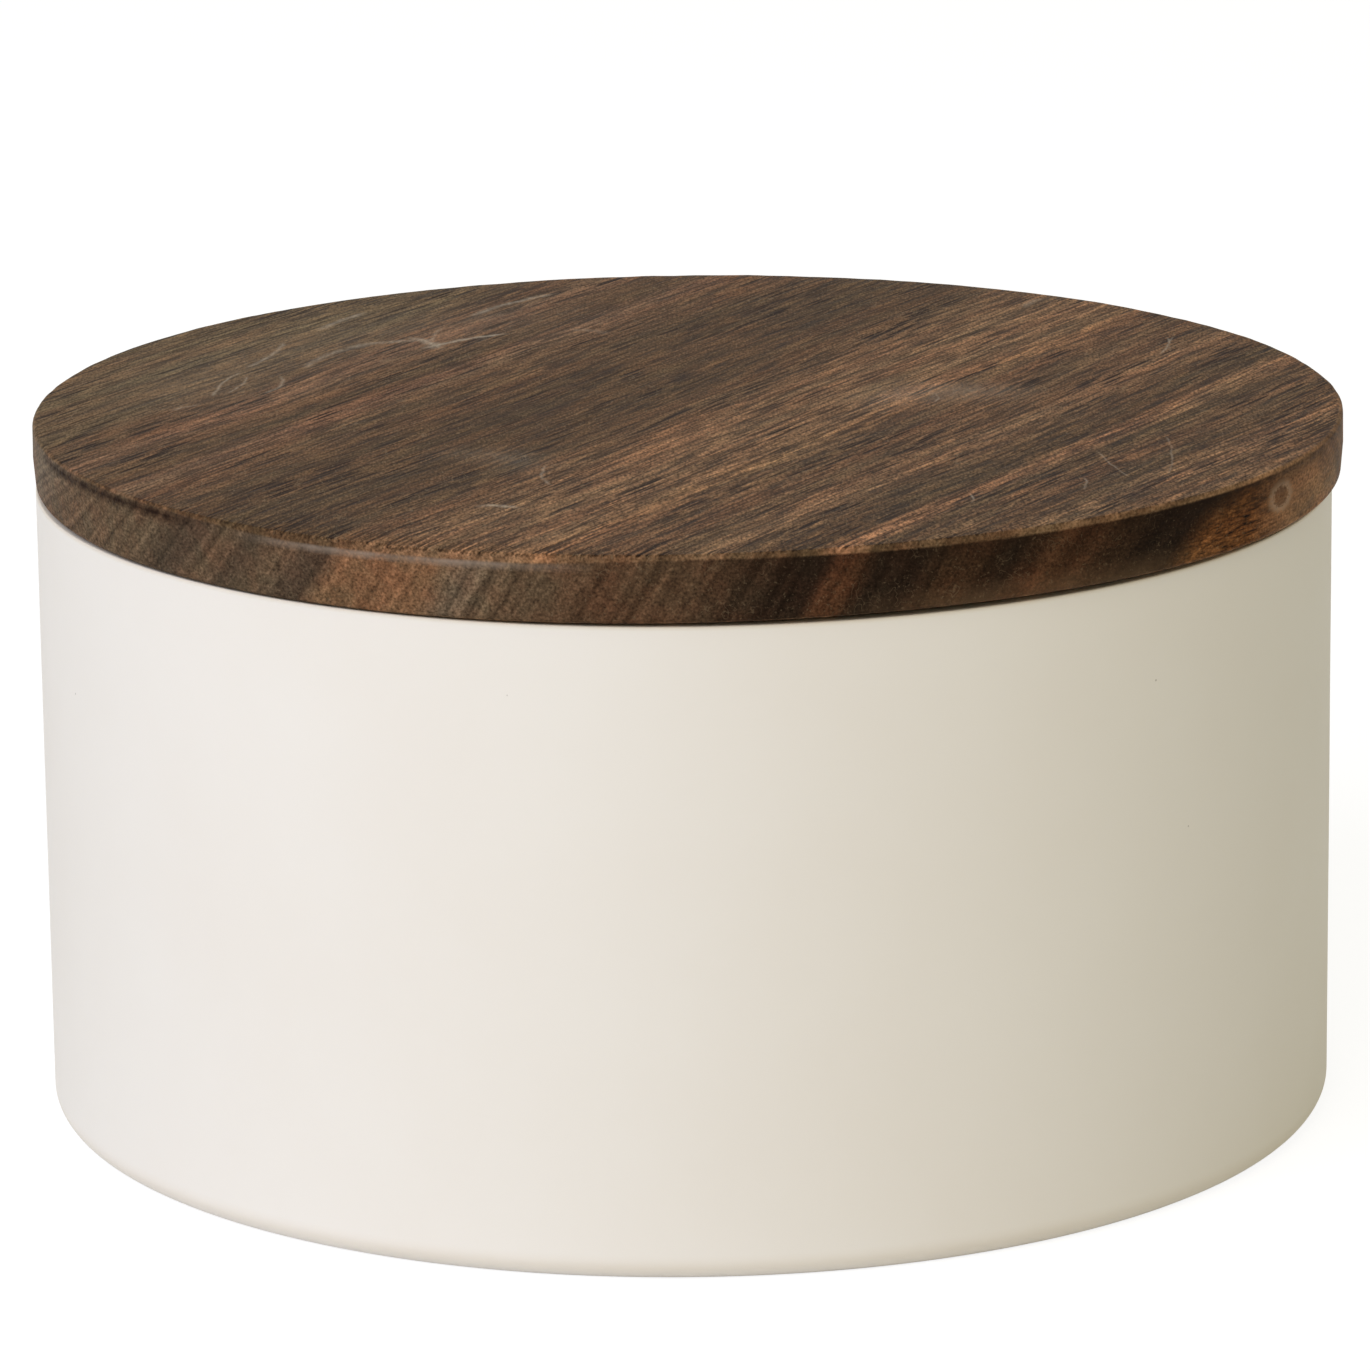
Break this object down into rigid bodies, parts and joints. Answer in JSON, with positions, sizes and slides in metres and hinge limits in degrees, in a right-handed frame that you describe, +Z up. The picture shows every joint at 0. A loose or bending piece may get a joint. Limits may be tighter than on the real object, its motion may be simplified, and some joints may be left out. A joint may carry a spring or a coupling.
{
  "type": "lidded canister",
  "caption": "Round straight-sided stoneware canister with an overhanging turned walnut lid and a silicone sealing ring, for dry food and small keepsakes.",
  "frame": {"origin": "on the table, at the axis of the pot", "axes": "+Z up along the pot's axis; +X to the right and +Y away from the viewer in the picture"},
  "size_m": [0.15, 0.15, 0.081],
  "materials": {
    "glazed_stoneware": "satin",
    "oiled_walnut": "satin",
    "silicone": "satin"
  },
  "bodies": {
    "pot": {"pot": "glazed_stoneware"},
    "seal": {"seal_ring": "silicone"},
    "lid": {"lid": "oiled_walnut"}
  },
  "joints": [
    {"name": "lid_lift", "type": "slide", "parent": "pot", "child": "seal", "axis": [0, 0, 1], "range_m": [0, 0.03]},
    {"name": "lid_turn", "type": "hinge", "parent": "seal", "child": "lid", "pos_m": [0.00035, 0, 0.0735], "axis": [0, 0, 1], "continuous": true}
  ]
}
